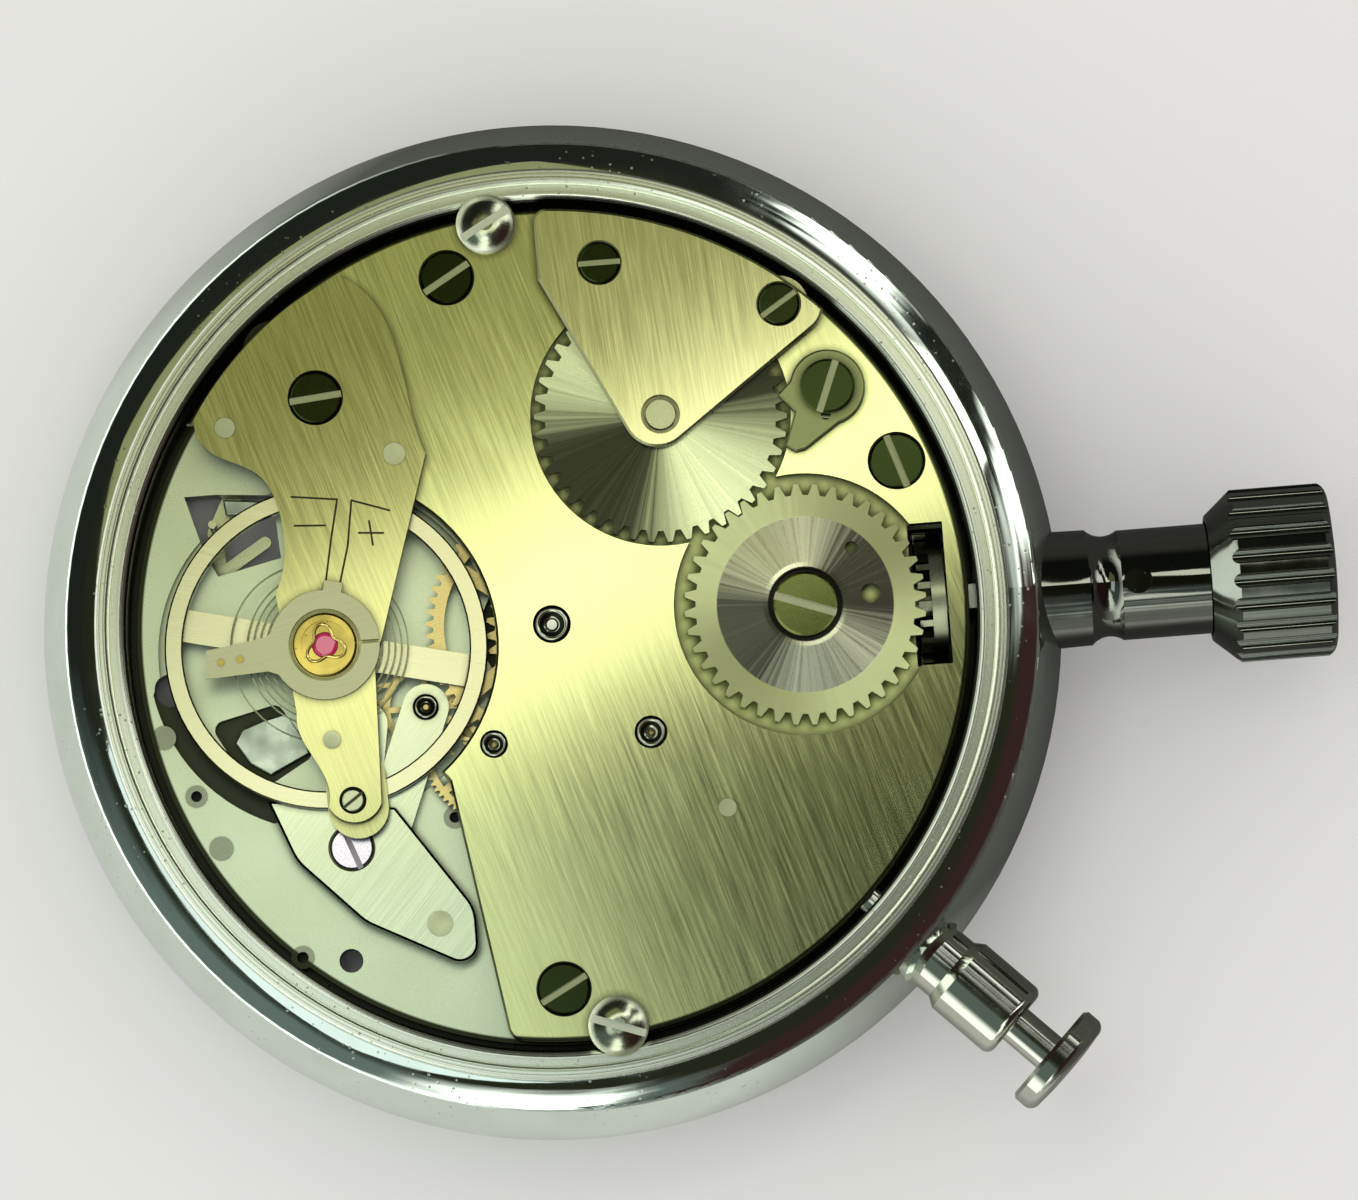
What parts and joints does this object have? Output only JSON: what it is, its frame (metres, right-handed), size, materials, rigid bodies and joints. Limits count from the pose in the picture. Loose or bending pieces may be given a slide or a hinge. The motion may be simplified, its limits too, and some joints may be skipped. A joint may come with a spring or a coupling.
{
  "type": "mechanical stopwatch",
  "caption": "Round hand-wound pocket stopwatch with a top crown, a side pusher and an open movement of bridges, wheels and balance.",
  "frame": {"origin": "middle of the crystal's flat outer face, on the watch's axis", "axes": "+Z from the crystal towards the movement side, +X towards the crown"},
  "size_m": [0.0648, 0.0512, 0.0127],
  "materials": {
    "case_chrome": "mirror polished",
    "crystal_glass": "clear polished",
    "dial_white": "satin enamel",
    "hand_steel": "blued",
    "nickel_plate": "straight grained nickel",
    "steel_part": "polished",
    "screw_steel": "black polished",
    "winding_steel": "sunburst ground",
    "train_brass": "gilt",
    "gilt_setting": "polished gilt",
    "ruby": "polished ruby",
    "spring_steel": "tempered"
  },
  "bodies": {
    "case": {"case_middle": "case_chrome", "bezel": "case_chrome", "crystal": "crystal_glass", "dial": "dial_white", "pendant_tube": "case_chrome", "pusher_tube": "case_chrome", "main_plate": "nickel_plate", "train_bridge": "nickel_plate", "barrel_plate": "nickel_plate", "pallet_bridge": "nickel_plate", "balance_cock": "nickel_plate", "cock_tail_plate": "nickel_plate", "train_jewels": "ruby", "plate_bushes": "train_brass", "steady_pins": "steel_part", "bridge_screws": "screw_steel", "barrel_plate_screws": "screw_steel", "case_screws": "screw_steel", "cock_screw": "screw_steel", "tail_screw": "screw_steel", "pallet_bridge_screw": "screw_steel", "shock_setting": "gilt_setting", "cap_jewel": "ruby", "crown_wheel_screw": "screw_steel", "click_screw": "screw_steel", "click_spring": "spring_steel", "hairspring": "spring_steel", "hairspring_stud": "steel_part", "crown_spring": "spring_steel", "pusher_spring": "spring_steel"},
    "winding_pinion": {"winding_pinion": "steel_part"},
    "crown": {"crown_knob": "case_chrome", "winding_stem": "steel_part"},
    "crown_wheel": {"crown_wheel": "winding_steel"},
    "ratchet": {"ratchet_wheel": "winding_steel", "barrel_arbor": "steel_part"},
    "click": {"click": "steel_part"},
    "barrel": {"barrel_drum": "train_brass", "barrel_cover": "train_brass", "mainspring": "spring_steel"},
    "centre_wheel": {"centre_wheel": "train_brass"},
    "third_wheel": {"third_wheel": "train_brass"},
    "fourth_wheel": {"fourth_wheel": "train_brass", "seconds_driving_wheel": "train_brass"},
    "escape_wheel": {"escape_wheel": "steel_part"},
    "pallets": {"pallet_fork": "steel_part", "pallet_stones": "ruby"},
    "balance": {"balance_wheel": "gilt_setting", "balance_staff": "steel_part"},
    "regulator": {"regulator": "steel_part", "curb_pins": "train_brass"},
    "sweep_runner": {"sweep_runner": "train_brass", "sweep_hand": "hand_steel"},
    "minute_intermediate": {"minute_intermediate_wheel": "train_brass"},
    "minute_runner": {"minute_wheel": "train_brass", "minute_hand": "hand_steel"},
    "pusher": {"pusher_button": "case_chrome"},
    "reset_hammer": {"reset_hammer": "steel_part"},
    "start_stop_lever": {"start_stop_lever": "steel_part"}
  },
  "joints": [
    {"name": "crown_turn", "type": "hinge", "parent": "case", "child": "winding_pinion", "pos_m": [0, 0, 0.008], "axis": [1, 0, 0], "continuous": true},
    {"name": "crown_press", "type": "slide", "parent": "winding_pinion", "child": "crown", "axis": [-1, 0, 0], "range_m": [0, 0.0008], "stiffness_N_per_m": 1500, "springref_m": -0.001, "deforming": ["crown_spring"]},
    {"name": "crown_wheel_turn", "type": "hinge", "parent": "case", "child": "crown_wheel", "pos_m": [0.01265, 0, 0.01], "axis": [0, 0, 1], "continuous": true},
    {"name": "ratchet_turn", "type": "hinge", "parent": "case", "child": "ratchet", "pos_m": [0.0062, 0.00995, 0.01], "axis": [0, 0, 1], "continuous": true},
    {"name": "click_lift", "type": "hinge", "parent": "case", "child": "click", "pos_m": [0.0146, 0.0107, 0.01], "axis": [0, 0, 1], "range_deg": [0, 10], "stiffness_Nm_per_rad": 0.002, "springref_deg": -5.73},
    {"name": "fourth_turn", "type": "hinge", "parent": "case", "child": "fourth_wheel", "pos_m": [-0.00333, -0.00574, 0.01], "axis": [0, 0, 1], "continuous": true},
    {"name": "third_turn", "type": "hinge", "parent": "case", "child": "third_wheel", "pos_m": [0.0045, -0.00575, 0.01], "axis": [0, 0, 1], "continuous": true},
    {"name": "centre_turn", "type": "hinge", "parent": "case", "child": "centre_wheel", "pos_m": [0, 0, 0.01], "axis": [0, 0, 1], "continuous": true},
    {"name": "barrel_turn", "type": "hinge", "parent": "case", "child": "barrel", "pos_m": [0.0062, 0.00995, 0.01], "axis": [0, 0, 1], "continuous": true},
    {"name": "escape_turn", "type": "hinge", "parent": "case", "child": "escape_wheel", "pos_m": [-0.0066, -0.0035, 0.01], "axis": [0, 0, 1], "continuous": true},
    {"name": "runner_turn", "type": "hinge", "parent": "case", "child": "sweep_runner", "pos_m": [0, 0, 0.01], "axis": [0, 0, 1], "continuous": true},
    {"name": "minute_intermediate_turn", "type": "hinge", "parent": "case", "child": "minute_intermediate", "pos_m": [0.00436, 0.00113, 0.01], "axis": [0, 0, 1], "continuous": true},
    {"name": "minute_turn", "type": "hinge", "parent": "case", "child": "minute_runner", "pos_m": [0.0084, 0, 0.01], "axis": [0, 0, 1], "continuous": true},
    {"name": "pallet_swing", "type": "hinge", "parent": "case", "child": "pallets", "pos_m": [-0.00971, -0.00414, 0.01], "axis": [0, 0, 1], "range_deg": [-4, 4]},
    {"name": "balance_swing", "type": "hinge", "parent": "case", "child": "balance", "pos_m": [-0.0113, -0.00025, 0.01], "axis": [0, 0, 1], "range_deg": [-270, 270], "stiffness_Nm_per_rad": 0.0000043, "deforming": ["hairspring"]},
    {"name": "regulator_swing", "type": "hinge", "parent": "case", "child": "regulator", "pos_m": [-0.0113, -0.00025, 0.01], "axis": [0, 0, 1], "range_deg": [-8, 8]},
    {"name": "pusher_press", "type": "slide", "parent": "case", "child": "pusher", "axis": [-0.7071, 0.7071, 0], "range_m": [0, 0.0013], "stiffness_N_per_m": 1500, "springref_m": -0.001, "deforming": ["pusher_spring"]},
    {"name": "hammer_swing", "type": "hinge", "parent": "case", "child": "reset_hammer", "pos_m": [0.002, -0.016, 0.006], "axis": [0, 0, 1], "range_deg": [0, 7.52]},
    {"name": "lever_swing", "type": "hinge", "parent": "case", "child": "start_stop_lever", "pos_m": [0.002, 0.016, 0.006], "axis": [0, 0, 1], "range_deg": [-2.86, 0]}
  ],
  "couplings": [
    {"joint": "crown_wheel_turn", "follows": "crown_turn", "ratio": -0.55},
    {"joint": "ratchet_turn", "follows": "crown_turn", "ratio": 0.52381},
    {"joint": "third_turn", "follows": "fourth_turn", "ratio": -0.22222},
    {"joint": "centre_turn", "follows": "fourth_turn", "ratio": 0.041667},
    {"joint": "barrel_turn", "follows": "fourth_turn", "ratio": -0.015476},
    {"joint": "escape_turn", "follows": "fourth_turn", "ratio": -10},
    {"joint": "runner_turn", "follows": "fourth_turn", "ratio": -1},
    {"joint": "minute_intermediate_turn", "follows": "fourth_turn", "ratio": 0.2},
    {"joint": "minute_turn", "follows": "fourth_turn", "ratio": -0.033333},
    {"joint": "hammer_swing", "follows": "pusher_press", "rad_per_m": 100.96},
    {"joint": "lever_swing", "follows": "crown_press", "rad_per_m": -62.5}
  ]
}
